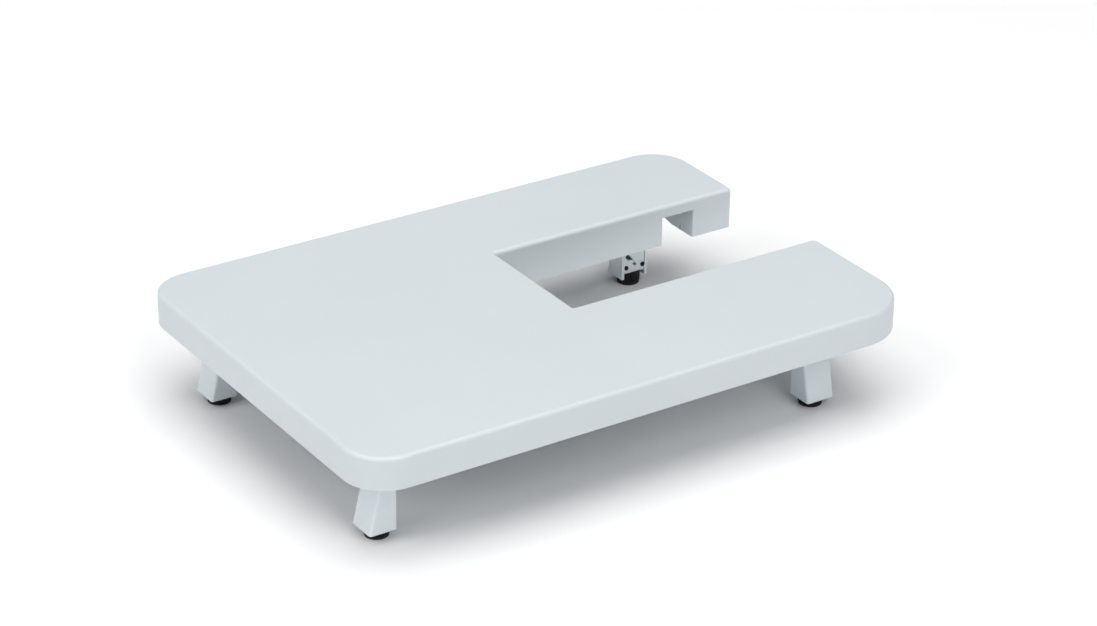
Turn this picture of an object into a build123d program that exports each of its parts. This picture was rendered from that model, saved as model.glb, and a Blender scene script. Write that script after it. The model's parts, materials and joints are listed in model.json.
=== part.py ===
from build123d import *
import math
import os

# An extension table for a sewing machine. One moulded top has a cut-out, open at its right-hand end,
# that takes the machine's free arm. Four moulded legs fold up under the top, and each stands on a
# screw foot that levels it.
#
# Millimetres. +Z is up, and +X runs along the top towards the open end of the cut-out. The origin is
# on the surface that the feet stand on, under the middle of the top.

# ---- Driving dimensions ------------------------------------------------------------------------------
# Top
TOP_LENGTH = 480.0
TOP_WIDTH = 333.0
HEIGHT = 88.0
PLATE = 3.0
WALL = 2.5
SKIRT_DEPTH = 25.5
TOP_EDGE_RADIUS = 3.2
CORNER_RADIUS = 33.0
FRONT_RIGHT_RADIUS = 45.0
LIP_ROUND = 0.4

# Cut-out for the free arm, with a wall deeper than the skirt
CUTOUT_X = 14.0
CUTOUT_FRONT_Y = -38.1
CUTOUT_BACK_Y = 70.6
CUTOUT_DEPTH = 34.0
CUTOUT_CORNER_RADIUS = 0.5
FRONT_TIP_RADIUS = 5.0
BACK_TIP_RADIUS = 4.0

# Notch in the back wall of the cut-out, and the rib with a hole beside it
NOTCH_LEFT_X = 172.1
NOTCH_RIGHT_X = 201.7
NOTCH_TOP_DROP = 10.0
NOTCH_EDGE_RADIUS = 1.0
RIB_HOLE_RADIUS = 1.75
RIB_HOLE_Y = 87.1
RIB_HOLE_Z = 57.2
RIB_RING_RADIUS = 2.9
RIB_RING_HEIGHT = 0.6
RIB_SLOPE_START_Y = 100.0
RIB_CORNER_RADIUS = 6.0
RIB_BACK_Z = 66.0

# Stiffening ribs under the top
STIFFENER = 1.8
STIFFENER_DEPTH = 8.0
STIFFENER_PITCH_X = 38.0
STIFFENER_PITCH_Y = 36.0
STIFFENER_STEPS_X = range(-5, 6)
STIFFENER_STEPS_Y = range(-4, 4)

# Bays between the ribs, where the legs fold away
BAY_FOOT_ROOM = 12.0
BAY_HEAD_REACH = 20.0
BAY_INNER_GAP = 1.5
BAY_OUTER_GAP = 3.0

# Leg: its inner face is upright and its outer face slants outwards on the way down
LEG_WIDTH = 25.0
LEG_BOTTOM = 7.0
LEG_TOP = 82.3
LEG_FOOT_DEPTH = 22.0
LEG_HEAD_DEPTH = 10.0
LEG_SLANT = 0.2345
LEG_EDGE_RADIUS = 2.2
LEG_RIM_ROUND = 0.4
LEG_FLANGE = 2.6
LEG_OUTER_WALL = 2.0
WEB_TOP = 22.0
CHAMBER_TOP = 60.7
HEAD_CORE_BOTTOM = 62.9
PIVOT_BOSS_RADIUS = 4.5
RIGHT_LEG_X = 176.3
RIGHT_LEG_INNER_Y = 113.4
LEFT_LEG_INNER_X = -194.9
LEFT_LEG_Y = 116.9

# Pivot: 1 mm off the leg's centre, so that a load presses the leg against its stop
PIVOT_OFFSET = -1.0
PIVOT_Z = 70.0
PIN_RADIUS = 2.0
RUNNING_GAP = 0.05
PIN_HOLE_GAP = 0.02
PIN_HEAD_RADIUS = 3.2
PIN_HEAD_HEIGHT = 1.3
PIN_HEAD_ROUND = 0.6
PIN_TAIL = 0.8
PIN_TAIL_CHAMFER = 0.4
GROOVE_DISTANCE = 0.9
GROOVE_WIDTH = 0.7
GROOVE_RADIUS = 1.5

# Clip in the pin's groove, and conical washer beside the leg
CLIP_GAP = 0.05
CLIP_OUTER_RADIUS = 3.3
CLIP_INNER_RADIUS = 2.3
CLIP_TOOTH = (1.55, 2.8)
CLIP_TOOTH_HALF_WIDTH = 0.6
CLIP_MOUTH_HALF_WIDTH = 1.3
CLIP_MOUTH_TOP = 1.6
WASHER_INNER_RADIUS = 2.15
WASHER_OUTER_RADIUS = 4.6
WASHER_SHEET = 0.3
WASHER_GAP = 0.05

# Hinge bracket: a hat section folded from sheet
SHEET = 1.5
BRACKET_WIDTH = 27.0
BRACKET_TOP = 84.5
FLANGE_Z = 65.0
FLANGE_WIDTH = 8.4
INNER_EAR_GAP = 0.6
OUTER_EAR_GAP = 0.9
BEND_RADIUS = 2.0
SCREW_SPREAD = 9.0

# Screws
SCREW_RADIUS = 1.5
SCREW_HEAD_RADIUS = 2.9
SCREW_HEAD_HEIGHT = 1.8
SCREW_LENGTH = 12.0
SCREW_BITE = 0.2
SCREW_HOLE_GAP = 0.15
SCREW_HOLE_SPARE = 0.5
BOSS_RADIUS = 3.5
COVER_SCREW_RADIUS = 1.2
COVER_SCREW_HEAD_RADIUS = 1.9
COVER_SCREW_HEAD_HEIGHT = 1.2
COVER_SCREW_LENGTH = 8.5
COVER_SCREW_BITE = 0.15
COVER_SCREW_SPREAD = 7.9
COVER_SCREW_Z = 16.9

# A screw's head and tip, as shares of its head's radius and height and of its shank's radius
HEAD_ROUND = 0.45
RECESS_REACH = 0.55
RECESS_HALF_WIDTH = 0.13
RECESS_FLOOR = 0.4
TIP_CHAMFER = 0.6

# Leg cover
COVER_RECESS = 0.8
COVER_THICKNESS = 1.6
COVER_GAP = 0.2
COVER_BOTTOM = 12.0
COVER_CORNER_RADIUS = 1.0
COVER_RIM_ROUND = 0.3
COVER_LIP = 0.6
COVER_LIP_HEIGHT = 1.6
COVER_LIP_INSET = 1.0
COVER_LIP_ROUND = 0.5
SLOT_TOP = (-6.6, 26.6)
SLOT_TOP_RADIUS = 1.9
SLOT_LOW = (1.0, 18.2)
SLOT_LOW_RADIUS = 1.2

# Screw foot
FOOT_Y = 9.0
THREAD_RADIUS = 2.45
THREAD_ROOT = 2.05
THREAD_PITCH = 0.8
STUD_BOTTOM = 4.4
STUD_TOP = 38.0
STUD_NECK = 0.5
STUD_HOLE_RADIUS = 2.8
NUT_ACROSS_FLATS = 8.0
NUT_BORE_RADIUS = 2.5
NUT_BOTTOM = 14.0
NUT_TOP = 18.7
NUT_POCKET_GAP = 0.1
KNOB_RADIUS = 9.5
KNOB_BOTTOM = 1.9
KNOB_TOP = 11.6
KNOB_EDGE = 0.6
KNOB_FLUTES = 28
FLUTE_RADIUS = 0.6
KNOB_STUD_GRIP = 0.03
HUB_RADIUS = 4.0
HUB_TOP = 3.3
HUB_CLEARANCE = 0.1
HUB_SIDE_GAP = 0.06
PAD_RADIUS = 9.0
PAD_TOP = 1.8
PAD_EDGE = 0.5
PAD_GROOVE_RADIUS = 6.0
PAD_GROOVE = 0.5

# ---- Derived places ----------------------------------------------------------------------------------
UNDERSIDE = HEIGHT - PLATE
SKIRT_BOTTOM = HEIGHT - SKIRT_DEPTH
CUTOUT_BOTTOM = HEIGHT - CUTOUT_DEPTH
CUTOUT_MIDDLE_Y = (CUTOUT_FRONT_Y + CUTOUT_BACK_Y) / 2
HALF_LENGTH = TOP_LENGTH / 2
HALF_WIDTH = TOP_WIDTH / 2
HEAD_RADIUS = LEG_TOP - PIVOT_Z
SLANT_TOP = LEG_BOTTOM + (LEG_FOOT_DEPTH - LEG_HEAD_DEPTH) / LEG_SLANT
COVER_TOP = CHAMBER_TOP - COVER_GAP
COVER_BACK = COVER_RECESS + COVER_THICKNESS
INNER_HALF_WIDTH = LEG_WIDTH / 2 - LEG_FLANGE
INNER_EAR_Y = -INNER_EAR_GAP - SHEET
OUTER_EAR_Y = LEG_HEAD_DEPTH + OUTER_EAR_GAP
FLANGE_TOP = FLANGE_Z + SHEET
GROOVE_START = INNER_EAR_Y - GROOVE_DISTANCE

# How far a cut runs past the material, and how close two places are when they are the same
PAST = 1.0
NEAR = 0.01

LEG_NAMES = ("front_left", "back_left", "front_right", "back_right")


# ---- Helpers -----------------------------------------------------------------------------------------
def block(x0, x1, y0, y1, z0, z1):
    """A box between two opposite corners."""
    return Pos(x0, y0, z0) * Box(x1 - x0, y1 - y0, z1 - z0, align=(Align.MIN, Align.MIN, Align.MIN))


def rod_z(x, y, z0, z1, radius):
    """An upright cylinder."""
    base = (Align.CENTER, Align.CENTER, Align.MIN)
    return Pos(x, y, z0) * Cylinder(radius, z1 - z0, align=base)


def rod_y(x, z, y0, y1, radius):
    """A cylinder along Y."""
    base = (Align.CENTER, Align.CENTER, Align.MIN)
    return Pos(x, y0, z) * Rot(-90, 0, 0) * Cylinder(radius, y1 - y0, align=base)


def rod_x(y, z, x0, x1, radius):
    """A cylinder along X."""
    base = (Align.CENTER, Align.CENTER, Align.MIN)
    return Pos(x0, y, z) * Rot(0, 90, 0) * Cylinder(radius, x1 - x0, align=base)


def rounded_polygon(corners):
    """A face from (x, y, radius) corners. A radius of 0 leaves the corner sharp."""
    face = make_face(Polyline([(x, y) for x, y, _ in corners], close=True))
    for x, y, radius in corners:
        if radius > 0:
            vertex = face.vertices().sort_by_distance((x, y, 0))[0]
            face = fillet(vertex, radius)
    return face


def slab_yz(face, x0, x1):
    """A face drawn in Y and Z, made solid from x0 to x1."""
    return extrude(Plane.YZ.offset(x0) * face, amount=x1 - x0)


def turned(points):
    """A solid of revolution about Z from an outline of (radius, z) points."""
    outline = make_face(Polyline([(r, 0, z) for r, z in points], close=True))
    return revolve(outline, axis=Axis.Z)


def pan_screw(head_radius, head_height, radius, length):
    """A cross-head screw. Its head stands on z = 0 pointing down, and its shank rises from there."""
    head = rod_z(0, 0, -head_height, 0, head_radius)
    head = fillet(head.edges().group_by(Axis.Z)[0], head_height * HEAD_ROUND)
    shank = rod_z(0, 0, 0, length, radius)
    shank = chamfer(shank.edges().group_by(Axis.Z)[-1], radius * TIP_CHAMFER)
    arm = head_radius * RECESS_REACH
    half = head_radius * RECESS_HALF_WIDTH
    recess_top = -head_height * RECESS_FLOOR
    cross = block(-arm, arm, -half, half, -head_height - PAST, recess_top)
    cross += block(-half, half, -arm, arm, -head_height - PAST, recess_top)
    return head + shank - cross


def placed(shape, leg):
    """Moves a shape from the leg's own frame to its place under the top.

    In the leg's frame x = 0 is its middle, y = 0 its inner face, +y points outwards, and it folds
    towards -x. The front legs are the back legs mirrored."""
    if leg.endswith("right"):
        shape = Pos(RIGHT_LEG_X, RIGHT_LEG_INNER_Y, 0) * shape
    else:
        shape = Pos(LEFT_LEG_INNER_X, LEFT_LEG_Y, 0) * Rot(0, 0, 90) * shape
    if leg.startswith("front"):
        shape = mirror(shape, about=Plane.XZ)
    return shape


def bracket_screw_places():
    """The (x, y) of a bracket's four screws, in the leg's frame."""
    inner_y = INNER_EAR_Y - FLANGE_WIDTH / 2
    outer_y = OUTER_EAR_Y + SHEET + FLANGE_WIDTH / 2
    return [(PIVOT_OFFSET + side * SCREW_SPREAD, y) for side in (-1, 1) for y in (inner_y, outer_y)]


def leg_depth(z):
    """How far the leg's outer face is from its inner face at a height."""
    return LEG_HEAD_DEPTH if z >= SLANT_TOP else LEG_FOOT_DEPTH - LEG_SLANT * (z - LEG_BOTTOM)


def leg_slice(z0, z1, front_y, wall, half_width):
    """A block behind the leg's outer face, a wall's thickness inside it, from front_y outwards."""
    corners = [(front_y, z0, 0), (leg_depth(z0) - wall, z0, 0)]
    if z0 < SLANT_TOP < z1:
        corners.append((LEG_HEAD_DEPTH - wall, SLANT_TOP, 0))
    corners += [(leg_depth(z1) - wall, z1, 0), (front_y, z1, 0)]
    return slab_yz(rounded_polygon(corners), -half_width, half_width)


# ---- Top ---------------------------------------------------------------------------------------------
def top_outline(inset):
    """The top's outline seen from above, brought in by an inset all round."""
    x_end = HALF_LENGTH - inset
    y_end = HALF_WIDTH - inset
    x_cut = CUTOUT_X - inset
    y_front = CUTOUT_FRONT_Y - inset
    y_back = CUTOUT_BACK_Y + inset
    return rounded_polygon([
        (-x_end, -y_end, CORNER_RADIUS - inset),
        (x_end, -y_end, FRONT_RIGHT_RADIUS - inset),
        (x_end, y_front, FRONT_TIP_RADIUS - inset),
        (x_cut, y_front, CUTOUT_CORNER_RADIUS + inset),
        (x_cut, y_back, CUTOUT_CORNER_RADIUS + inset),
        (x_end, y_back, BACK_TIP_RADIUS - inset),
        (x_end, y_end, CORNER_RADIUS - inset),
        (-x_end, y_end, CORNER_RADIUS - inset),
    ])


def stow_bay():
    """The space that a leg and its bracket need while the leg folds, in the leg's frame."""
    foot_end = PIVOT_OFFSET - PIVOT_Z - BAY_FOOT_ROOM
    inner_y = INNER_EAR_Y - FLANGE_WIDTH - BAY_INNER_GAP
    outer_y = LEG_FOOT_DEPTH + BAY_OUTER_GAP
    return block(foot_end, BAY_HEAD_REACH, inner_y, outer_y, SKIRT_BOTTOM - PAST, UNDERSIDE)


def stiffeners():
    """A grid of shallow ribs under the plate, left out where the legs fold."""
    low = UNDERSIDE - STIFFENER_DEPTH
    grid = Part()
    for step in STIFFENER_STEPS_X:
        x = step * STIFFENER_PITCH_X
        grid += block(x - STIFFENER / 2, x + STIFFENER / 2, -HALF_WIDTH, HALF_WIDTH, low, UNDERSIDE)
    for step in STIFFENER_STEPS_Y:
        y = CUTOUT_MIDDLE_Y + step * STIFFENER_PITCH_Y
        grid += block(-HALF_LENGTH, HALF_LENGTH, y - STIFFENER / 2, y + STIFFENER / 2, low, UNDERSIDE)
    inside = extrude(Pos(0, 0, low) * top_outline(WALL / 2), amount=STIFFENER_DEPTH)
    grid = grid & inside
    for leg in LEG_NAMES:
        grid -= placed(stow_bay(), leg)
    return grid


def notch_rib():
    """The deep rib at the right of the notch, with a ringed hole near the cut-out's wall."""
    left = NOTCH_RIGHT_X
    right = left + WALL
    start_y = CUTOUT_BACK_Y + WALL / 2
    end_y = HALF_WIDTH - WALL / 2
    side = rounded_polygon([
        (start_y, CUTOUT_BOTTOM, 0),
        (RIB_SLOPE_START_Y, CUTOUT_BOTTOM, RIB_CORNER_RADIUS),
        (end_y, RIB_BACK_Z, 0),
        (end_y, UNDERSIDE, 0),
        (start_y, UNDERSIDE, 0),
    ])
    rib = slab_yz(side, left, right)
    rib += rod_x(RIB_HOLE_Y, RIB_HOLE_Z, left - RIB_RING_HEIGHT, right, RIB_RING_RADIUS)
    return rib


def table_top():
    """The moulded top: plate, skirt, cut-out walls, notch, ribs and screw bosses in one piece."""
    top = extrude(Pos(0, 0, SKIRT_BOTTOM) * top_outline(0), amount=SKIRT_DEPTH)
    top = fillet(top.edges().group_by(Axis.Z)[-1], TOP_EDGE_RADIUS)
    top -= extrude(Pos(0, 0, SKIRT_BOTTOM) * top_outline(WALL), amount=SKIRT_DEPTH - PLATE)

    ring = top_outline(0) - top_outline(WALL)
    deep_wall = extrude(Pos(0, 0, CUTOUT_BOTTOM) * ring, amount=CUTOUT_DEPTH - SKIRT_DEPTH)
    deep_wall &= block(CUTOUT_X - WALL, HALF_LENGTH, CUTOUT_FRONT_Y - WALL, CUTOUT_BACK_Y + WALL,
                       CUTOUT_BOTTOM, SKIRT_BOTTOM)
    top += deep_wall
    lips = [
        edge for edge in top.edges()
        if abs(edge.bounding_box().max.Z - edge.bounding_box().min.Z) < NEAR
        and edge.center().Z < SKIRT_BOTTOM + NEAR
    ]
    top = fillet(lips, LIP_ROUND)

    notch_top = HEIGHT - NOTCH_TOP_DROP
    top -= block(NOTCH_LEFT_X, NOTCH_RIGHT_X, CUTOUT_BACK_Y - PAST, CUTOUT_BACK_Y + WALL + PAST,
                 CUTOUT_BOTTOM - PAST, notch_top)
    notch_edges = [
        edge for edge in top.edges()
        if abs(edge.center().Y - CUTOUT_BACK_Y) < NEAR
        and NOTCH_LEFT_X - NEAR < edge.center().X < NOTCH_RIGHT_X + NEAR
        and edge.center().Z < notch_top + NEAR
    ]
    top = fillet(notch_edges, NOTCH_EDGE_RADIUS)

    top += notch_rib()
    top += stiffeners()
    for leg in LEG_NAMES:
        for x, y in bracket_screw_places():
            top += placed(rod_z(x, y, FLANGE_TOP, UNDERSIDE, BOSS_RADIUS), leg)
    for leg in LEG_NAMES:
        for x, y in bracket_screw_places():
            hole_top = FLANGE_TOP + SCREW_LENGTH
            top -= placed(rod_z(x, y, FLANGE_TOP - PAST, hole_top, SCREW_RADIUS - SCREW_BITE), leg)
    top -= rod_x(RIB_HOLE_Y, RIB_HOLE_Z, NOTCH_RIGHT_X - PAST, NOTCH_RIGHT_X + WALL + PAST, RIB_HOLE_RADIUS)
    return top


# ---- Hinge -------------------------------------------------------------------------------------------
def hinge_bracket():
    """A hat section over the leg's head: a bridge, two ears and two screw flanges."""
    inner = INNER_EAR_Y
    outer = OUTER_EAR_Y + SHEET
    tight = BEND_RADIUS - SHEET
    profile = rounded_polygon([
        (inner - FLANGE_WIDTH, FLANGE_Z, 0),
        (inner + SHEET, FLANGE_Z, BEND_RADIUS),
        (inner + SHEET, BRACKET_TOP - SHEET, tight),
        (OUTER_EAR_Y, BRACKET_TOP - SHEET, tight),
        (OUTER_EAR_Y, FLANGE_Z, BEND_RADIUS),
        (outer + FLANGE_WIDTH, FLANGE_Z, 0),
        (outer + FLANGE_WIDTH, FLANGE_TOP, 0),
        (outer, FLANGE_TOP, tight),
        (outer, BRACKET_TOP, BEND_RADIUS),
        (inner, BRACKET_TOP, BEND_RADIUS),
        (inner, FLANGE_TOP, tight),
        (inner - FLANGE_WIDTH, FLANGE_TOP, 0),
    ])
    left = PIVOT_OFFSET - BRACKET_WIDTH / 2
    bracket = slab_yz(profile, left, left + BRACKET_WIDTH)
    bracket -= rod_y(PIVOT_OFFSET, PIVOT_Z, inner - PAST, outer + PAST, PIN_RADIUS + PIN_HOLE_GAP)
    for x, y in bracket_screw_places():
        bracket -= rod_z(x, y, FLANGE_Z - PAST, FLANGE_TOP + PAST, SCREW_RADIUS + SCREW_HOLE_GAP)
    return bracket


def bracket_screws():
    """The four screws of one bracket, heads down."""
    screw = pan_screw(SCREW_HEAD_RADIUS, SCREW_HEAD_HEIGHT, SCREW_RADIUS, SCREW_LENGTH)
    return [Pos(x, y, FLANGE_Z) * screw for x, y in bracket_screw_places()]


def pivot_pin():
    """A headed pin through both ears and the leg, grooved at its inner end for a clip."""
    end_y = GROOVE_START - PIN_TAIL
    head_y = OUTER_EAR_Y + SHEET
    pin = rod_y(PIVOT_OFFSET, PIVOT_Z, end_y, head_y, PIN_RADIUS)
    pin = chamfer(pin.edges().group_by(Axis.Y)[0], PIN_TAIL_CHAMFER)
    head = rod_y(PIVOT_OFFSET, PIVOT_Z, head_y, head_y + PIN_HEAD_HEIGHT, PIN_HEAD_RADIUS)
    pin += fillet(head.edges().group_by(Axis.Y)[-1], PIN_HEAD_ROUND)
    neck = rod_y(PIVOT_OFFSET, PIVOT_Z, GROOVE_START, GROOVE_START + GROOVE_WIDTH, PIN_RADIUS + PAST)
    neck -= rod_y(PIVOT_OFFSET, PIVOT_Z, GROOVE_START, GROOVE_START + GROOVE_WIDTH, GROOVE_RADIUS)
    return pin - neck


def pivot_clip():
    """An E-shaped clip in the pin's groove, open downwards."""
    y0 = GROOVE_START + CLIP_GAP
    y1 = GROOVE_START + GROOVE_WIDTH - CLIP_GAP
    clip = rod_y(0, 0, y0, y1, CLIP_OUTER_RADIUS)
    clip -= rod_y(0, 0, y0 - PAST, y1 + PAST, CLIP_INNER_RADIUS)
    for angle in (0, 90, 180):
        tooth = block(*CLIP_TOOTH, y0, y1, -CLIP_TOOTH_HALF_WIDTH, CLIP_TOOTH_HALF_WIDTH)
        clip += Rot(0, -angle, 0) * tooth
    clip -= block(-CLIP_MOUTH_HALF_WIDTH, CLIP_MOUTH_HALF_WIDTH, y0 - PAST, y1 + PAST,
                  -CLIP_OUTER_RADIUS - PAST, -CLIP_MOUTH_TOP)
    return Pos(PIVOT_OFFSET, 0, PIVOT_Z) * clip


def spring_washer():
    """A conical spring washer that presses the leg towards the inner ear."""
    rise = OUTER_EAR_GAP - 2 * WASHER_GAP
    cone = turned([
        (WASHER_INNER_RADIUS, 0),
        (WASHER_INNER_RADIUS, WASHER_SHEET),
        (WASHER_OUTER_RADIUS, rise),
        (WASHER_OUTER_RADIUS, rise - WASHER_SHEET),
    ])
    return Pos(PIVOT_OFFSET, LEG_HEAD_DEPTH + WASHER_GAP, PIVOT_Z) * Rot(-90, 0, 0) * cone


# ---- Leg ---------------------------------------------------------------------------------------------
def leg_shell():
    """The leg's moulding: two flanges and a slanted outer wall, open inwards, with a nut pocket."""
    half = LEG_WIDTH / 2
    shell = leg_slice(LEG_BOTTOM, LEG_TOP, 0, 0, half)
    outer_edges = [
        edge for edge in shell.edges()
        if abs(abs(edge.center().X) - half) < NEAR
        and edge.center().Y > LEG_HEAD_DEPTH - NEAR
        and LEG_BOTTOM < edge.center().Z < LEG_TOP
    ]
    shell = fillet(outer_edges, LEG_EDGE_RADIUS)

    # The corner on the folding side is round about the pivot, so that it clears the bracket.
    corner = block(-half - PAST, PIVOT_OFFSET, -PAST, LEG_HEAD_DEPTH + PAST, PIVOT_Z, LEG_TOP + PAST)
    corner -= rod_y(PIVOT_OFFSET, PIVOT_Z, -PAST, LEG_HEAD_DEPTH + PAST, HEAD_RADIUS)
    shell -= corner

    # The foot's well, and the recess in front of the cover. Their rims are slightly round.
    shell -= leg_slice(LEG_BOTTOM - PAST, COVER_BOTTOM, -PAST, LEG_OUTER_WALL, INNER_HALF_WIDTH)
    shell -= block(-INNER_HALF_WIDTH, INNER_HALF_WIDTH, -PAST, COVER_BACK, COVER_BOTTOM, CHAMBER_TOP)
    rims = [
        edge for edge in shell.edges()
        if edge.bounding_box().max.Z < LEG_BOTTOM + NEAR
        or (edge.bounding_box().max.Y < NEAR and edge.bounding_box().size.Z > LEG_FOOT_DEPTH)
    ]
    shell = fillet(rims, LEG_RIM_ROUND)

    # The hollow behind the cover.
    shell -= leg_slice(WEB_TOP, CHAMBER_TOP, COVER_RECESS, LEG_OUTER_WALL, INNER_HALF_WIDTH)

    # Cored head with a boss round the pivot.
    core_top = LEG_TOP - LEG_OUTER_WALL
    core_back = LEG_HEAD_DEPTH - LEG_OUTER_WALL
    core = block(-INNER_HALF_WIDTH, INNER_HALF_WIDTH, -PAST, core_back, HEAD_CORE_BOTTOM, core_top)
    rim = block(-half, PIVOT_OFFSET, -2 * PAST, LEG_HEAD_DEPTH, PIVOT_Z, core_top + PAST)
    rim -= rod_y(PIVOT_OFFSET, PIVOT_Z, -2 * PAST, LEG_HEAD_DEPTH, HEAD_RADIUS - LEG_OUTER_WALL)
    core -= rim
    core -= rod_y(PIVOT_OFFSET, PIVOT_Z, -2 * PAST, LEG_HEAD_DEPTH, PIVOT_BOSS_RADIUS)
    shell -= core
    shell -= rod_y(PIVOT_OFFSET, PIVOT_Z, -PAST, LEG_HEAD_DEPTH + PAST, PIN_RADIUS + RUNNING_GAP)

    # Nut pocket, reached from the cover's side, and the stud's hole through the web.
    pocket_flat = NUT_ACROSS_FLATS / 2 + NUT_POCKET_GAP
    pocket_corner = pocket_flat / math.cos(math.pi / 6)
    pocket_bottom = NUT_BOTTOM - RUNNING_GAP
    pocket_top = NUT_TOP + RUNNING_GAP
    pocket = hexagon(pocket_flat, pocket_bottom, pocket_top)
    pocket += block(-pocket_corner, pocket_corner, 0, FOOT_Y, pocket_bottom, pocket_top)
    shell -= pocket
    shell -= rod_z(0, FOOT_Y, COVER_BOTTOM - PAST, WEB_TOP + PAST, STUD_HOLE_RADIUS)
    hole_radius = COVER_SCREW_RADIUS - COVER_SCREW_BITE
    hole_end = COVER_RECESS + COVER_SCREW_LENGTH + SCREW_HOLE_SPARE
    for side in (-1, 1):
        shell -= rod_y(side * COVER_SCREW_SPREAD, COVER_SCREW_Z, COVER_RECESS, hole_end, hole_radius)
    return shell


def hexagon(half_flat, z0, z1):
    """A hexagonal prism on the foot's axis, with flats facing -y and +y."""
    outline = RegularPolygon(half_flat, 6, major_radius=False)
    return extrude(Pos(0, FOOT_Y, z0) * outline, amount=z1 - z0)


def leg_cover():
    """The plate that closes the leg's inner side, with a bottom lip and a tapered diagonal slot."""
    half = INNER_HALF_WIDTH - COVER_GAP
    cover = block(-half, half, COVER_RECESS, COVER_BACK, COVER_BOTTOM, COVER_TOP)
    cover = fillet(cover.edges().filter_by(Axis.Y), COVER_CORNER_RADIUS)
    cover = fillet(cover.edges().group_by(Axis.Y)[0], COVER_RIM_ROUND)
    lip_top = COVER_BOTTOM + COVER_LIP_HEIGHT
    lip_end = half - COVER_LIP_INSET
    lip_base = COVER_RECESS + COVER_RIM_ROUND
    lip = block(-lip_end, lip_end, COVER_RECESS - COVER_LIP, lip_base, COVER_BOTTOM, lip_top)
    cover += fillet(lip.edges().group_by(Axis.Y)[0].filter_by(Axis.X), COVER_LIP_ROUND)
    ends = [Pos(*SLOT_TOP) * Circle(SLOT_TOP_RADIUS), Pos(*SLOT_LOW) * Circle(SLOT_LOW_RADIUS)]
    outline = make_hull(ends[0].edges() + ends[1].edges())
    slot = extrude(Plane.XZ.offset(-COVER_BACK - PAST) * outline, amount=COVER_THICKNESS + 2 * PAST)
    cover -= slot
    for side in (-1, 1):
        cover -= rod_y(side * COVER_SCREW_SPREAD, COVER_SCREW_Z, COVER_RECESS - PAST, COVER_BACK + PAST,
                       COVER_SCREW_RADIUS + SCREW_HOLE_GAP)
    return cover


def cover_screws():
    """The two screws that hold the cover to the leg's web."""
    screw = pan_screw(COVER_SCREW_HEAD_RADIUS, COVER_SCREW_HEAD_HEIGHT, COVER_SCREW_RADIUS,
                      COVER_SCREW_LENGTH)
    screw = Rot(-90, 0, 0) * screw
    return [Pos(side * COVER_SCREW_SPREAD, COVER_RECESS, COVER_SCREW_Z) * screw for side in (-1, 1)]


# ---- Screw foot --------------------------------------------------------------------------------------
def foot_nut():
    """A plain hexagon nut held in the leg's web."""
    nut = hexagon(NUT_ACROSS_FLATS / 2, NUT_BOTTOM, NUT_TOP)
    return nut - rod_z(0, FOOT_Y, NUT_BOTTOM - PAST, NUT_TOP + PAST, NUT_BORE_RADIUS)


def foot_stud():
    """The foot's threaded stud: a plain end held in the knob, then ridges at the thread's pitch."""
    thread_start = KNOB_TOP + STUD_NECK
    points = [(0, STUD_BOTTOM), (THREAD_RADIUS, STUD_BOTTOM), (THREAD_RADIUS, thread_start)]
    turns = int((STUD_TOP - thread_start - THREAD_PITCH) / THREAD_PITCH)
    for turn in range(turns):
        z = thread_start + turn * THREAD_PITCH
        points.append((THREAD_ROOT, z + THREAD_PITCH / 2))
        points.append((THREAD_RADIUS, z + THREAD_PITCH))
    points += [(THREAD_ROOT, STUD_TOP), (0, STUD_TOP)]
    return Pos(0, FOOT_Y, 0) * turned(points)


def foot_knob():
    """The fluted knob that turns the foot, recessed underneath for the pad's hub."""
    bottom_hole = HUB_TOP + HUB_CLEARANCE
    recess = HUB_RADIUS + HUB_SIDE_GAP
    knob = turned([
        (recess, KNOB_BOTTOM),
        (KNOB_RADIUS - KNOB_EDGE, KNOB_BOTTOM),
        (KNOB_RADIUS, KNOB_BOTTOM + KNOB_EDGE),
        (KNOB_RADIUS, KNOB_TOP - KNOB_EDGE),
        (KNOB_RADIUS - KNOB_EDGE, KNOB_TOP),
        (0, KNOB_TOP),
        (0, bottom_hole),
        (recess, bottom_hole),
    ])
    for turn in range(KNOB_FLUTES):
        angle = 2 * math.pi * turn / KNOB_FLUTES
        x = KNOB_RADIUS * math.cos(angle)
        y = KNOB_RADIUS * math.sin(angle)
        knob -= rod_z(x, y, KNOB_BOTTOM - PAST, KNOB_TOP + PAST, FLUTE_RADIUS)
    knob -= rod_z(0, 0, STUD_BOTTOM, KNOB_TOP + PAST, THREAD_RADIUS - KNOB_STUD_GRIP)
    return Pos(0, FOOT_Y, 0) * knob


def foot_pad():
    """The rubber pad that the knob turns on, with a hub and a ring groove underneath."""
    pad = turned([
        (0, 0),
        (PAD_RADIUS - PAD_EDGE, 0),
        (PAD_RADIUS, PAD_EDGE),
        (PAD_RADIUS, PAD_TOP),
        (HUB_RADIUS, PAD_TOP),
        (HUB_RADIUS, HUB_TOP),
        (0, HUB_TOP),
    ])
    groove = rod_z(0, 0, -PAST, PAD_GROOVE, PAD_GROOVE_RADIUS + PAD_GROOVE)
    groove -= rod_z(0, 0, -PAST, PAD_GROOVE, PAD_GROOVE_RADIUS - PAD_GROOVE)
    return Pos(0, FOOT_Y, 0) * (pad - groove)


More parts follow.
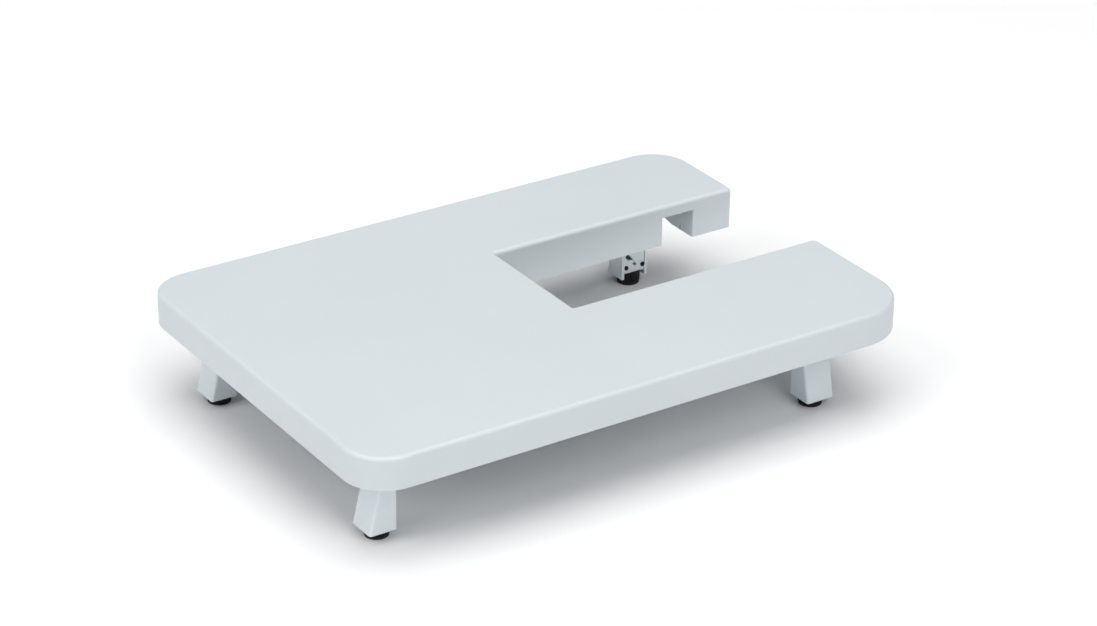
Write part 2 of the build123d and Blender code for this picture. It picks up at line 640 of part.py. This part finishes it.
# ---- Assembly ----------------------------------------------------------------------------------------
def build_nodes():
    """Every node of the table, by name."""
    nodes = {"table_top": table_top()}
    per_leg = {
        "hinge_bracket": [hinge_bracket()],
        "pivot_pin": [pivot_pin()],
        "leg_shell": [leg_shell()],
        "leg_cover": [leg_cover()],
        "cover_screws": cover_screws(),
        "foot_nut": [foot_nut()],
        "foot_stud": [foot_stud()],
        "foot_knob": [foot_knob()],
        "foot_pad": [foot_pad()],
    }
    shared = {
        "bracket_screws": bracket_screws(),
        "pivot_clips": [pivot_clip()],
        "spring_washers": [spring_washer()],
    }
    for name, shapes in per_leg.items():
        for leg in LEG_NAMES:
            nodes[f"{name}_{leg}"] = solids_of([placed(shape, leg) for shape in shapes])
    for name, shapes in shared.items():
        nodes[name] = solids_of([placed(shape, leg) for leg in LEG_NAMES for shape in shapes])
    return nodes


def solids_of(shapes):
    """One solid, or a group of separate solids."""
    solids = [solid for shape in shapes for solid in shape.solids()]
    return solids[0] if len(solids) == 1 else Compound(children=solids)


os.makedirs("parts", exist_ok=True)
for node, shape in build_nodes().items():
    export_step(shape, f"parts/{node}.step")
    print(f"{node}: {len(shape.solids())} solid(s), {shape.volume:.1f} mm3")
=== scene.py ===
import json
import math

import bpy
from mathutils import Matrix, Vector


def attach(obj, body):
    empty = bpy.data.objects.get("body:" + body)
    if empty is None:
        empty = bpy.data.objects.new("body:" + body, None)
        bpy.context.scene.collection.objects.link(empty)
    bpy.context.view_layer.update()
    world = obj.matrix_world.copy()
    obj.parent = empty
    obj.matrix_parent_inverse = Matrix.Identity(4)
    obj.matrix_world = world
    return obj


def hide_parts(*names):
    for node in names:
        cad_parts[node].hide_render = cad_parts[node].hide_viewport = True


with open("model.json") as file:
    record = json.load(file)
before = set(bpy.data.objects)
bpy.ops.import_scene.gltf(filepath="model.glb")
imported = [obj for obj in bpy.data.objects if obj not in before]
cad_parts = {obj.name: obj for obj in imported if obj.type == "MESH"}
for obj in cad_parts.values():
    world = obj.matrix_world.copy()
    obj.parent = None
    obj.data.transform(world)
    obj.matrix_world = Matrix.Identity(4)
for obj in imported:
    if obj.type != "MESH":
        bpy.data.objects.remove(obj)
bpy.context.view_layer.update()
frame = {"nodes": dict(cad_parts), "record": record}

# ---- Named values, in metres unless they say otherwise ------------------------------------------------
MM = 0.001

# Camera
CAMERA_AIM = Vector((-0.0074, -0.0368, 0.088))
CAMERA_DISTANCE = 2.4584
CAMERA_AZIMUTH = math.radians(33.725)
CAMERA_PITCH = math.radians(26.868)
CAMERA_ROLL = math.radians(-0.918)
CAMERA_LENS_MM = 108.75

# Light: a dim dome, and soft boxes by azimuth (degrees from +Y towards +X), elevation and power in watts
DOME_STRENGTH = 0.06
BOX_DISTANCE = 5.0
SOFTBOXES = {
    "overhead": {"azimuth": 0, "elevation": 90, "size": 6.0, "power": 258.0},
    "front": {"azimuth": 180, "elevation": 38, "size": 3.0, "power": 86.0},
    "left": {"azimuth": 270, "elevation": 38, "size": 3.0, "power": 86.0},
    "right": {"azimuth": 90, "elevation": 38, "size": 3.0, "power": 4.0},
}
FLOOR_SIZE = 14.0
FLOOR_COLOUR = (0.955, 0.955, 0.96, 1)
FLOOR_MOTTLE_DARK = 0.995

# Finishes: a plastic's grey, its roughness, and the size and depth of its grain
COOL = (0.926, 0.995, 1.037)
PLASTICS = {
    "top_plastic": {"value": 0.68, "roughness": 0.40, "grain": 0.45 * MM, "grain_depth": 0.010 * MM},
    # Painted light: leg_plastic and cover_plastic are the top's same pale plastic, given lighter greys so
    # that their faces, which the lamps light less, come out brighter.
    "leg_plastic": {"value": 0.86, "roughness": 0.38, "grain": 0.40 * MM, "grain_depth": 0.010 * MM},
    "cover_plastic": {"value": 0.82, "roughness": 0.42, "grain": 0.40 * MM, "grain_depth": 0.012 * MM},
}
FLOW_CHANGE = 0.015
FLOW_DEPTH = 0.12 * MM
GLOSS_CHANGE = 0.05
PLASTIC_IOR = 1.5
PLASTIC_SPECULAR = 0.45
BLACK_SPECULAR = 0.3
BLACK_GRAIN_DEPTH = 0.02 * MM
RUBBER_GRAIN_DEPTH = 0.03 * MM

# A steel's grey, tint and roughness, and the axis that its streaks run along
STEELS = {
    "zinc_steel": {"value": 0.62, "tint": (1.0, 1.0, 1.01), "roughness": 0.34, "streak_axis": 0},
    "bright_steel": {"value": 0.58, "tint": (1.0, 0.99, 0.98), "roughness": 0.26, "streak_axis": 2},
    "black_steel": {"value": 0.035, "tint": (1.0, 1.0, 1.05), "roughness": 0.45, "streak_axis": 1},
}
STREAK_SCALE_ACROSS = 4000.0
STREAK_SCALE_ALONG = 120.0
STREAK_DEPTH = 0.006 * MM
STEEL_CLOUD_DARK = 0.88

# Screw feet: where each stands, then one foot's sizes about its own axis, in millimetres
FEET = {
    "front_left": (-203.9, -116.9),
    "back_left": (-203.9, 116.9),
    "front_right": (176.3, -122.4),
    "back_right": (176.3, 122.4),
}
STUD_BOTTOM = 4.4
STUD_TOP = 38.0
STUD_TIP = 0.6
STUD_GRIP_RADIUS = 2.41
THREAD_START = 12.1
THREAD_CREST = 2.45
THREAD_ROOT = 2.0
THREAD_PITCH = 0.8
THREAD_STEEPNESS = 1.35
THREAD_RINGS_PER_TURN = 10
THREAD_SEGMENTS = 40
NUT_APOTHEM = 4.0
NUT_FACE_RADIUS = 3.85
NUT_BORE = 2.5
NUT_COUNTERSINK = 0.35
NUT_BOTTOM = 14.0
NUT_TOP = 18.7
NUT_CHAMFER = math.tan(math.radians(30))
ROUND_SEGMENTS = 72
KNOB_RADIUS = 9.5
KNOB_BOTTOM = 1.9
KNOB_TOP = 11.6
KNOB_EDGE = 0.7
KNOB_HOLE = 2.42
KNOB_RECESS_RADIUS = 4.2
KNOB_RECESS_TOP = 3.6
FLUTES = 28
FLUTE_WIDTH = 1.6
FLUTE_DEPTH = 0.55
FLUTE_REACH = 2.0
FLUTE_STEPS = 12
PAD_RADIUS = 9.0
PAD_TOP = 1.8
PAD_EDGE = 0.5
PAD_RIM = 0.2
PAD_GROOVE_IN = 5.5
PAD_GROOVE_OUT = 6.5
PAD_GROOVE_DEPTH = 0.5
HUB_RADIUS = 4.0
HUB_TOP = 3.3
SMALL_ROUND = 0.2
SHARP_EDGE = math.radians(38)


# ---- Node helpers ------------------------------------------------------------------------------------
def new_material(name):
    """An empty node material with its shader."""
    material = bpy.data.materials.new(name)
    material.use_nodes = True
    shader = material.node_tree.nodes["Principled BSDF"]
    return material, material.node_tree, shader


def noise(tree, vector, scale, detail=2.0, roughness=0.5):
    """A noise texture read at a vector."""
    node = tree.nodes.new("ShaderNodeTexNoise")
    node.inputs["Scale"].default_value = scale
    node.inputs["Detail"].default_value = detail
    node.inputs["Roughness"].default_value = roughness
    tree.links.new(vector, node.inputs["Vector"])
    return node.outputs["Fac"]


def ramp(tree, value, stops, low_colour, high_colour):
    """A value mapped between two colours, which sit at the two stops."""
    node = tree.nodes.new("ShaderNodeValToRGB")
    node.color_ramp.elements[0].position = stops[0]
    node.color_ramp.elements[0].color = low_colour
    node.color_ramp.elements[1].position = stops[1]
    node.color_ramp.elements[1].color = high_colour
    tree.links.new(value, node.inputs["Fac"])
    return node.outputs["Color"]


def remap(tree, value, low, high):
    """A value from 0..1 mapped to low..high."""
    node = tree.nodes.new("ShaderNodeMapRange")
    node.inputs["To Min"].default_value = low
    node.inputs["To Max"].default_value = high
    tree.links.new(value, node.inputs["Value"])
    return node.outputs["Result"]


def bump(tree, height, distance, normal=None):
    """A bump of a real depth, on top of another normal if there is one."""
    node = tree.nodes.new("ShaderNodeBump")
    node.inputs["Distance"].default_value = distance
    tree.links.new(height, node.inputs["Height"])
    if normal is not None:
        tree.links.new(normal, node.inputs["Normal"])
    return node.outputs["Normal"]


def object_coordinates(tree):
    """Coordinates in the object's own frame, in metres."""
    return tree.nodes.new("ShaderNodeTexCoord").outputs["Object"]


def grey(value, tint=(1.0, 1.0, 1.0)):
    """A grey with a slight tint."""
    return (value * tint[0], value * tint[1], value * tint[2], 1.0)


# ---- Materials ---------------------------------------------------------------------------------------
def moulded_plastic(name, value, roughness, grain, grain_depth):
    """Pale moulded plastic: eroded-mould grain, slow waves in the flow, and a slightly uneven gloss."""
    material, tree, shader = new_material(name)
    place = object_coordinates(tree)
    flow = noise(tree, place, scale=9.0, detail=3.0, roughness=0.55)
    low_colour = grey(value * (1 - FLOW_CHANGE), COOL)
    high_colour = grey(value * (1 + FLOW_CHANGE), COOL)
    colour = ramp(tree, flow, (0.25, 0.75), low_colour, high_colour)
    tree.links.new(colour, shader.inputs["Base Color"])
    smear = noise(tree, place, scale=60.0, detail=4.0, roughness=0.6)
    gloss = remap(tree, smear, roughness - GLOSS_CHANGE, roughness + GLOSS_CHANGE)
    tree.links.new(gloss, shader.inputs["Roughness"])
    waves = bump(tree, flow, FLOW_DEPTH)
    fine = noise(tree, place, scale=1.0 / grain, detail=2.0, roughness=0.6)
    tree.links.new(bump(tree, fine, grain_depth, waves), shader.inputs["Normal"])
    shader.inputs["IOR"].default_value = PLASTIC_IOR
    shader.inputs["Specular IOR Level"].default_value = PLASTIC_SPECULAR
    return material


def black_plastic(name):
    """Black nylon with a matt grain and a faint film of dust."""
    material, tree, shader = new_material(name)
    place = object_coordinates(tree)
    dust = noise(tree, place, scale=350.0, detail=4.0, roughness=0.65)
    colour = ramp(tree, dust, (0.45, 0.85), grey(0.006), grey(0.014, (1.0, 0.99, 0.96)))
    tree.links.new(colour, shader.inputs["Base Color"])
    tree.links.new(remap(tree, dust, 0.42, 0.64), shader.inputs["Roughness"])
    fine = noise(tree, place, scale=2600.0, detail=2.0, roughness=0.6)
    tree.links.new(bump(tree, fine, BLACK_GRAIN_DEPTH), shader.inputs["Normal"])
    shader.inputs["Specular IOR Level"].default_value = BLACK_SPECULAR
    return material


def rubber(name):
    """Soft black rubber with a fine bloom."""
    material, tree, shader = new_material(name)
    place = object_coordinates(tree)
    bloom = noise(tree, place, scale=500.0, detail=3.0, roughness=0.6)
    colour = ramp(tree, bloom, (0.3, 0.8), grey(0.010), grey(0.024))
    tree.links.new(colour, shader.inputs["Base Color"])
    tree.links.new(remap(tree, bloom, 0.72, 0.92), shader.inputs["Roughness"])
    fine = noise(tree, place, scale=3200.0, detail=2.0, roughness=0.6)
    tree.links.new(bump(tree, fine, RUBBER_GRAIN_DEPTH), shader.inputs["Normal"])
    return material


def steel(name, value, tint, roughness, streak_axis):
    """Plated or turned steel: fine streaks along one axis and a cloudy finish."""
    material, tree, shader = new_material(name)
    place = object_coordinates(tree)
    stretch = tree.nodes.new("ShaderNodeMapping")
    scale = [STREAK_SCALE_ACROSS] * 3
    scale[streak_axis] = STREAK_SCALE_ALONG
    stretch.inputs["Scale"].default_value = scale
    tree.links.new(place, stretch.inputs["Vector"])
    streaks = noise(tree, stretch.outputs["Vector"], scale=1.0, detail=3.0, roughness=0.6)
    cloud = noise(tree, place, scale=160.0, detail=3.0, roughness=0.6)
    colour = ramp(tree, cloud, (0.3, 0.75), grey(value * STEEL_CLOUD_DARK, tint), grey(value, tint))
    tree.links.new(colour, shader.inputs["Base Color"])
    tree.links.new(remap(tree, streaks, roughness - 0.08, roughness + 0.12), shader.inputs["Roughness"])
    tree.links.new(bump(tree, streaks, STREAK_DEPTH), shader.inputs["Normal"])
    shader.inputs["Metallic"].default_value = 1.0
    return material


def make_materials():
    """One material for each slot of the record."""
    made = {name: moulded_plastic(name, **finish) for name, finish in PLASTICS.items()}
    made["knob_plastic"] = black_plastic("knob_plastic")
    made["foot_rubber"] = rubber("foot_rubber")
    for name, finish in STEELS.items():
        made[name] = steel(name, **finish)
    return made


def paint_nodes(materials):
    """Gives every CAD node the material of its slot."""
    slots = {part["node"]: part["material_slot"] for part in frame["record"]["subparts"]}
    for name, node in frame["nodes"].items():
        node.data.materials.clear()
        node.data.materials.append(materials[slots[name]])


# ---- Screw feet --------------------------------------------------------------------------------------
def rounded_profile(corners, steps=5):
    """An outline of (radius, height) points from corners of (radius, height, rounding), in order."""
    outline = []
    for index, (radius, height, rounding) in enumerate(corners):
        corner = Vector((radius, height))
        if rounding == 0:
            outline.append(tuple(corner))
            continue
        before = (Vector(corners[index - 1][:2]) - corner).normalized()
        after = (Vector(corners[index + 1][:2]) - corner).normalized()
        half = before.angle(after) / 2
        centre = corner + (before + after).normalized() * rounding / math.sin(half)
        start = corner + before * rounding / math.tan(half) - centre
        end = corner + after * rounding / math.tan(half) - centre
        for step in range(steps + 1):
            spoke = start.lerp(end, step / steps).normalized() * rounding
            outline.append(tuple(centre + spoke))
    return outline


def turned_piece(name, profile, segments, shape=None):
    """A closed turned surface in metres. shape gives each point's own radius and height from its angle."""
    vertices = []
    faces = []
    rings = []
    for radius, height in profile:
        count = 1 if radius == 0 else segments
        rings.append(range(len(vertices), len(vertices) + count))
        for step in range(count):
            angle = 2 * math.pi * step / segments
            reach, rise = shape(radius, height, angle) if shape else (radius, height)
            vertices.append((reach * math.cos(angle) * MM, reach * math.sin(angle) * MM, rise * MM))
    if len(rings[0]) > 1:
        rings.append(rings[0])
    for lower, upper in zip(rings, rings[1:]):
        for step in range(segments):
            after = (step + 1) % segments
            corners = []
            for ring, place in ((lower, step), (lower, after), (upper, after), (upper, step)):
                corner = ring[place] if len(ring) > 1 else ring[0]
                if corner not in corners:
                    corners.append(corner)
            faces.append(corners)
    mesh = bpy.data.meshes.new(name)
    mesh.from_pydata(vertices, [], faces)
    mesh.update()
    mesh.shade_smooth()
    mesh.set_sharp_from_angle(angle=SHARP_EDGE)
    piece = bpy.data.objects.new(name, mesh)
    bpy.context.scene.collection.objects.link(piece)
    return piece


def thread_shape(radius, height, angle):
    """A right-hand thread with rounded flats, which starts above the plain end and stops at the tip."""
    if height <= THREAD_START or radius == 0:
        return radius, height
    phase = (height / THREAD_PITCH - angle / (2 * math.pi)) % 1.0
    slope = 1.0 - 2.0 * abs(phase - 0.5)
    ridge = min(1.0, max(0.0, THREAD_STEEPNESS * (slope - 0.5) + 0.5))
    fade = min(1.0, (height - THREAD_START) / THREAD_PITCH)
    crest = min(THREAD_CREST, THREAD_CREST - STUD_TIP + (STUD_TOP - height))
    thread = THREAD_ROOT + (THREAD_CREST - THREAD_ROOT) * ridge * fade
    return min(thread, crest), height


def threaded_stud(name):
    """The stud: a plain end in the knob and a helical thread above it."""
    profile = [(0, STUD_BOTTOM), (STUD_GRIP_RADIUS, STUD_BOTTOM), (STUD_GRIP_RADIUS, THREAD_START)]
    rings = round((STUD_TOP - THREAD_START) / THREAD_PITCH * THREAD_RINGS_PER_TURN)
    for ring in range(1, rings + 1):
        profile.append((THREAD_CREST, THREAD_START + (STUD_TOP - THREAD_START) * ring / rings))
    profile.append((0, STUD_TOP))
    return turned_piece(name, profile, THREAD_SEGMENTS, thread_shape)


def hexagon_shape(radius, height, angle):
    """Six flats, two of them facing -y and +y, with both faces turned off at 30 degrees."""
    if radius <= NUT_FACE_RADIUS:
        return radius, height
    third = math.pi / 3
    reach = NUT_APOTHEM / math.cos(angle % third - third / 2)
    drop = (reach - NUT_FACE_RADIUS) * NUT_CHAMFER
    if height == NUT_TOP:
        return reach, NUT_TOP - drop
    return reach, NUT_BOTTOM + drop


def chamfered_nut(name):
    """The hexagon nut, with chamfered corners and a countersunk bore."""
    profile = [
        (NUT_BORE + NUT_COUNTERSINK, NUT_BOTTOM),
        (NUT_FACE_RADIUS, NUT_BOTTOM),
        (NUT_APOTHEM, NUT_BOTTOM),
        (NUT_APOTHEM, NUT_TOP),
        (NUT_FACE_RADIUS, NUT_TOP),
        (NUT_BORE + NUT_COUNTERSINK, NUT_TOP),
        (NUT_BORE, NUT_TOP - NUT_COUNTERSINK),
        (NUT_BORE, NUT_BOTTOM + NUT_COUNTERSINK),
    ]
    return turned_piece(name, profile, ROUND_SEGMENTS, hexagon_shape)


def flute_shape(radius, height, angle):
    """Rounded flutes in the knob's rim, which fade out towards its middle."""
    inner = KNOB_RADIUS - FLUTE_REACH
    if radius <= inner:
        return radius, height
    flute = 2 * math.pi / FLUTES
    along = abs((angle + flute / 2) % flute - flute / 2) * KNOB_RADIUS
    depth = 0.0
    if along < FLUTE_WIDTH / 2:
        depth = FLUTE_DEPTH * (1 + math.cos(2 * math.pi * along / FLUTE_WIDTH)) / 2
    return inner + (radius - inner) * (1 - depth / FLUTE_REACH), height


def fluted_knob(name):
    """The knob, with rounded edges and flutes."""
    profile = rounded_profile([
        (0, KNOB_RECESS_TOP, 0),
        (KNOB_RECESS_RADIUS, KNOB_RECESS_TOP, 0),
        (KNOB_RECESS_RADIUS, KNOB_BOTTOM, SMALL_ROUND),
        (KNOB_RADIUS, KNOB_BOTTOM, KNOB_EDGE),
        (KNOB_RADIUS, KNOB_TOP, KNOB_EDGE),
        (KNOB_HOLE, KNOB_TOP, 0),
        (KNOB_HOLE, STUD_BOTTOM, 0),
        (0, STUD_BOTTOM, 0),
    ])
    return turned_piece(name, profile, FLUTES * FLUTE_STEPS, flute_shape)


def rubber_foot(name):
    """The rubber pad, with rounded edges and a rounded groove underneath."""
    profile = rounded_profile([
        (0, 0, 0),
        (PAD_GROOVE_IN, 0, 0),
        (PAD_GROOVE_IN, PAD_GROOVE_DEPTH, SMALL_ROUND),
        (PAD_GROOVE_OUT, PAD_GROOVE_DEPTH, SMALL_ROUND),
        (PAD_GROOVE_OUT, 0, 0),
        (PAD_RADIUS, 0, PAD_EDGE),
        (PAD_RADIUS, PAD_TOP, PAD_RIM),
        (HUB_RADIUS, PAD_TOP, 0),
        (HUB_RADIUS, HUB_TOP, SMALL_ROUND),
        (0, HUB_TOP, 0),
    ])
    return turned_piece(name, profile, ROUND_SEGMENTS)


FOOT_PIECES = {
    "threaded_stud": {"make": threaded_stud, "body": "knob", "slot": "bright_steel", "node": "foot_stud"},
    "chamfered_nut": {"make": chamfered_nut, "body": "leg", "slot": "zinc_steel", "node": "foot_nut"},
    "fluted_knob": {"make": fluted_knob, "body": "knob", "slot": "knob_plastic", "node": "foot_knob"},
    "rubber_foot": {"make": rubber_foot, "body": "pad", "slot": "foot_rubber", "node": "foot_pad"},
}


def make_feet(materials):
    """Each foot's four pieces in place of its CAD nodes."""
    for leg, (x, y) in FEET.items():
        turn = math.pi / 2 if leg.endswith("left") else 0.0
        for kind, facts in FOOT_PIECES.items():
            piece = facts["make"](f"{kind}_{leg}")
            piece.data.materials.append(materials[facts["slot"]])
            piece.location = (x * MM, y * MM, 0.0)
            piece.rotation_euler = (0.0, 0.0, turn)
            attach(piece, f"{facts['body']}_{leg}")
            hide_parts(f"{facts['node']}_{leg}")


# ---- Studio ------------------------------------------------------------------------------------------
def make_floor():
    """A plain pale floor."""
    bpy.ops.mesh.primitive_grid_add(x_subdivisions=4, y_subdivisions=4, size=FLOOR_SIZE)
    floor = bpy.context.object
    floor.name = "studio_floor"
    material, tree, shader = new_material("floor_paper")
    place = object_coordinates(tree)
    mottle = noise(tree, place, scale=3.0, detail=2.0, roughness=0.5)
    edge = tuple(channel * FLOOR_MOTTLE_DARK for channel in FLOOR_COLOUR[:3]) + (1.0,)
    tree.links.new(ramp(tree, mottle, (0.3, 0.7), edge, FLOOR_COLOUR), shader.inputs["Base Color"])
    shader.inputs["Roughness"].default_value = 0.9
    shader.inputs["Specular IOR Level"].default_value = 0.1
    floor.data.materials.append(material)


def make_softbox(name, azimuth, elevation, size, power):
    """A square soft box that faces the middle of the floor."""
    turn = math.radians(azimuth)
    rise = math.radians(elevation)
    towards = Vector((math.sin(turn) * math.cos(rise), math.cos(turn) * math.cos(rise), math.sin(rise)))
    light = bpy.data.lights.new(f"softbox_{name}", "AREA")
    light.shape = "SQUARE"
    light.size = size
    light.energy = power
    lamp = bpy.data.objects.new(f"softbox_{name}", light)
    lamp.location = towards * BOX_DISTANCE
    lamp.rotation_euler = towards.to_track_quat("Z", "Y").to_euler()
    bpy.context.scene.collection.objects.link(lamp)


def make_lights():
    """A white dome and the soft boxes."""
    world = bpy.data.worlds.new("studio_dome")
    world.use_nodes = True
    world.node_tree.nodes["Background"].inputs["Color"].default_value = (1.0, 1.0, 1.0, 1.0)
    world.node_tree.nodes["Background"].inputs["Strength"].default_value = DOME_STRENGTH
    bpy.context.scene.world = world
    for name, box in SOFTBOXES.items():
        make_softbox(name, **box)


def make_camera():
    """The camera, aimed at the top from the front left."""
    forward = Vector((
        math.sin(CAMERA_AZIMUTH) * math.cos(CAMERA_PITCH),
        math.cos(CAMERA_AZIMUTH) * math.cos(CAMERA_PITCH),
        -math.sin(CAMERA_PITCH),
    ))
    level = Vector((math.cos(CAMERA_AZIMUTH), -math.sin(CAMERA_AZIMUTH), 0.0))
    down = forward.cross(level)
    right = level * math.cos(CAMERA_ROLL) + down * math.sin(CAMERA_ROLL)
    up = right.cross(forward)
    data = bpy.data.cameras.new("camera")
    data.lens = CAMERA_LENS_MM
    camera = bpy.data.objects.new("camera", data)
    turn = Matrix((right, up, -forward)).transposed().to_4x4()
    camera.matrix_world = Matrix.Translation(CAMERA_AIM - forward * CAMERA_DISTANCE) @ turn
    bpy.context.scene.collection.objects.link(camera)
    bpy.context.scene.camera = camera


make_camera()
make_lights()
make_floor()
materials = make_materials()
paint_nodes(materials)
make_feet(materials)
bpy.context.scene.view_settings.view_transform = "Standard"
